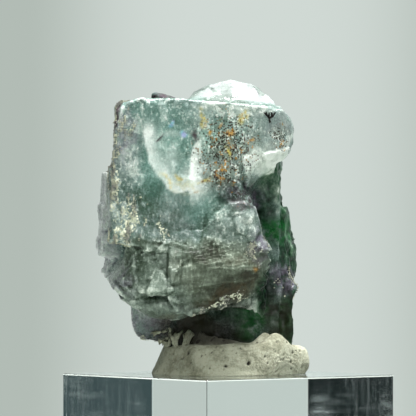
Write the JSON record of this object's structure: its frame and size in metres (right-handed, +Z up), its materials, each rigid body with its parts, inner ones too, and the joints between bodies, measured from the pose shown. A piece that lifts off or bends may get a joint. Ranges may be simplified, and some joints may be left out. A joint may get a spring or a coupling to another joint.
{
  "type": "fluorite cube cluster",
  "caption": "Translucent green fluorite cluster of intergrown, stepped and cleaved cubes, pressed into mounting putty on a square clear acrylic display block.",
  "frame": {"origin": "middle of the acrylic block's underside", "axes": "+Z up; -Y is the show side, with the large front cube face and one upright edge of the block towards it; +X is the viewer's right"},
  "size_m": [0.0702, 0.0702, 0.0874],
  "materials": {
    "fluorite": "translucent grey-green crystal with cloudy zones, rusty specks and pale sugary crust",
    "putty": "matt beige-grey mounting putty with fine pits and ridges",
    "acrylic": "clear polished acrylic with faint smudges"
  },
  "bodies": {
    "root": {"fluorite_cluster": "fluorite", "putty": "putty", "acrylic_block": "acrylic"}
  },
  "joints": []
}
